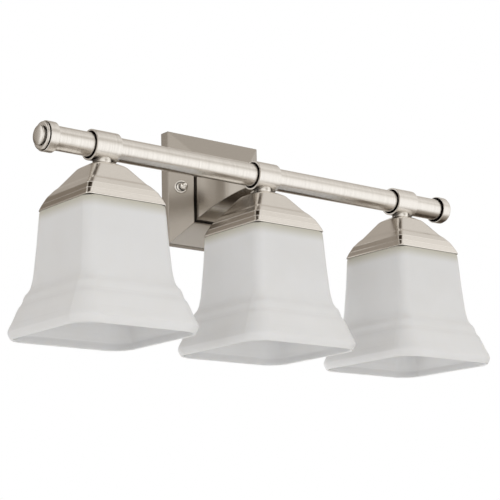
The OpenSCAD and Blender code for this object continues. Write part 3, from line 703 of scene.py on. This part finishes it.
# %% Camera
camera_data = bpy.data.cameras.new("camera")
camera_data.sensor_width = 36
camera_data.lens = 111.4
camera_data.shift_x = 0.0118
camera_data.shift_y = 0.0892
camera_data.clip_end = 50
camera = bpy.data.objects.new("camera", camera_data)
right = Vector((0.7813, -0.6237, -0.0221)).normalized()
forward = Vector((0.6161, 0.7652, 0.1869)).normalized()
up = right.cross(forward).normalized()
right = forward.cross(up).normalized()
turn = Matrix((right, up, -forward)).transposed().to_4x4()
camera.matrix_world = Matrix.Translation(Vector((-1.0644, -1.3858, -0.4486))) @ turn
bpy.context.scene.collection.objects.link(camera)
bpy.context.scene.camera = camera

# %% [markdown]
# ## Studio
# Satin metal shows the room around it, so the sky is a pale room with soft lighter and darker
# patches, and those draw the shapes. Four panels light the glass. The pale floor is far below.

# %% Floor, panels and sky
FLOOR_SIZE = 9
FLOOR_HEIGHT = -2.3
floor_mesh = bpy.data.meshes.new("floor")
floor_bm = bmesh.new()
bmesh.ops.create_grid(floor_bm, x_segments=4, y_segments=4, size=FLOOR_SIZE)
bmesh.ops.translate(floor_bm, verts=floor_bm.verts, vec=(0, 0, FLOOR_HEIGHT))
floor_bm.to_mesh(floor_mesh)
floor_bm.free()
floor = bpy.data.objects.new("floor", floor_mesh)
floor_mesh.materials.append(new_finish(
    "floor_matt_white", {"Roughness": 0.8, "Base Color": linear("#e8e8e8")})[0])
bpy.context.scene.collection.objects.link(floor)
# Polished metal mirrors the dark lower half of the room instead of the white floor
floor.visible_glossy = False


def panel(name, spot, target, size, power):
    light = bpy.data.lights.new(name, "AREA")
    light.shape = "RECTANGLE"
    light.size, light.size_y = size
    light.energy = power
    obj = bpy.data.objects.new(name, light)
    obj.location = spot
    obj.rotation_euler = (Vector(target) - Vector(spot)).to_track_quat("-Z", "Y").to_euler()
    bpy.context.scene.collection.objects.link(obj)
    return obj


for name, spot, target, size, power in (
    ("left_panel", (-2.2, -0.9, 0.3), (0, -0.1, -0.05), (0.9, 1.8), 7.5),
    ("top_panel", (0, -0.7, 2.0), (0, -0.1, 0), (2.4, 1.2), 3),
    ("back_panel", (0.2, 1.0, -0.5), (0, -0.1, -0.1), (1.6, 1.0), 16),
    ("low_panel", (-0.3, -0.9, -1.2), (0, -0.1, -0.1), (1.6, 1.0), 4),
):
    # The panels light the glass; the metal mirrors the sky instead of their outlines
    panel(name, spot, target, size, power).visible_glossy = False

world = bpy.data.worlds.new("studio")
bpy.context.scene.world = world
world.use_nodes = True
sky = world.node_tree
sky.nodes.clear()
ray = add(sky, "ShaderNodeLightPath").outputs["Is Camera Ray"]
way = add(sky, "ShaderNodeTexCoord").outputs["Generated"]
BASE_LIGHT = 0.57
# direction, degrees where the patch is full, degrees where it has faded out, light added
PATCHES = (
    ((0.61, -0.78, -0.14), 22, 40, 0.30),
    ((0.59, -0.31, 0.74), 16, 38, 0.12),
    ((0.50, 0.14, 0.85), 16, 36, -0.12),
    ((0.06, 0.72, 0.69), 12, 32, -0.15),
    ((-0.38, 0.87, 0.32), 14, 34, -0.26),
    ((-0.77, 0.60, 0.21), 10, 30, -0.04),
    ((-0.82, 0.48, 0.30), 14, 28, 0.34),
    ((-0.97, -0.08, 0.14), 10, 24, 0.12),
    ((-0.84, -0.08, 0.54), 14, 26, -0.45),
    ((-0.26, -0.96, 0.14), 12, 34, 0.11),
    ((0.71, -0.23, -0.67), 10, 28, -0.22),
    ((0.66, 0.09, -0.74), 10, 26, -0.12),
    ((-0.15, 0.05, 0.98), 16, 30, -0.60),
    ((0.00, 0.97, -0.24), 18, 38, -0.35),
    ((0.59, 0.53, -0.62), 14, 34, -0.48),
    ((0.38, 0.66, 0.64), 8, 26, -0.06),
    ((0.44, -0.76, 0.47), 8, 26, -0.16),
)
total = None
for direction, full, faded, gain in PATCHES:
    facing = add(sky, "ShaderNodeVectorMath", links={0: way}, operation="DOT_PRODUCT")
    facing.inputs[1].default_value = Vector(direction).normalized()
    patch = add(sky, "ShaderNodeMapRange",
                {"From Min": cos(radians(faded)), "From Max": cos(radians(full)), "To Max": gain},
                {"Value": facing.outputs["Value"]}, interpolation_type="SMOOTHSTEP")
    joined = add(sky, "ShaderNodeMath", {1: BASE_LIGHT}, {0: patch.outputs["Result"]},
                 operation="ADD")
    if total:
        sky.links.new(total, joined.inputs[1])
    total = joined.outputs[0]
ramp = add(sky, "ShaderNodeValToRGB", links={"Fac": total})
stops = ((0.0, (0.02, 0.014, 0.009)), (0.16, (0.12, 0.095, 0.07)), (0.42, (0.38, 0.35, 0.315)),
         (0.72, (0.78, 0.765, 0.74)), (1.0, (1.0, 1.0, 0.995)))
while len(ramp.color_ramp.elements) < len(stops):
    ramp.color_ramp.elements.new(0.5)
for element, (spot, colour) in zip(ramp.color_ramp.elements, stops):
    element.position = spot
    element.color = (*colour, 1)
room = add(sky, "ShaderNodeBackground", {"Strength": 1.4}, {"Color": ramp.outputs["Color"]})
white = add(sky, "ShaderNodeBackground", {"Color": (1, 1, 1, 1), "Strength": 1.0})
mix = add(sky, "ShaderNodeMixShader", links={0: ray, 1: room.outputs[0], 2: white.outputs[0]})
add(sky, "ShaderNodeOutputWorld", links={"Surface": mix.outputs[0]})
bpy.context.scene.view_settings.view_transform = "Standard"
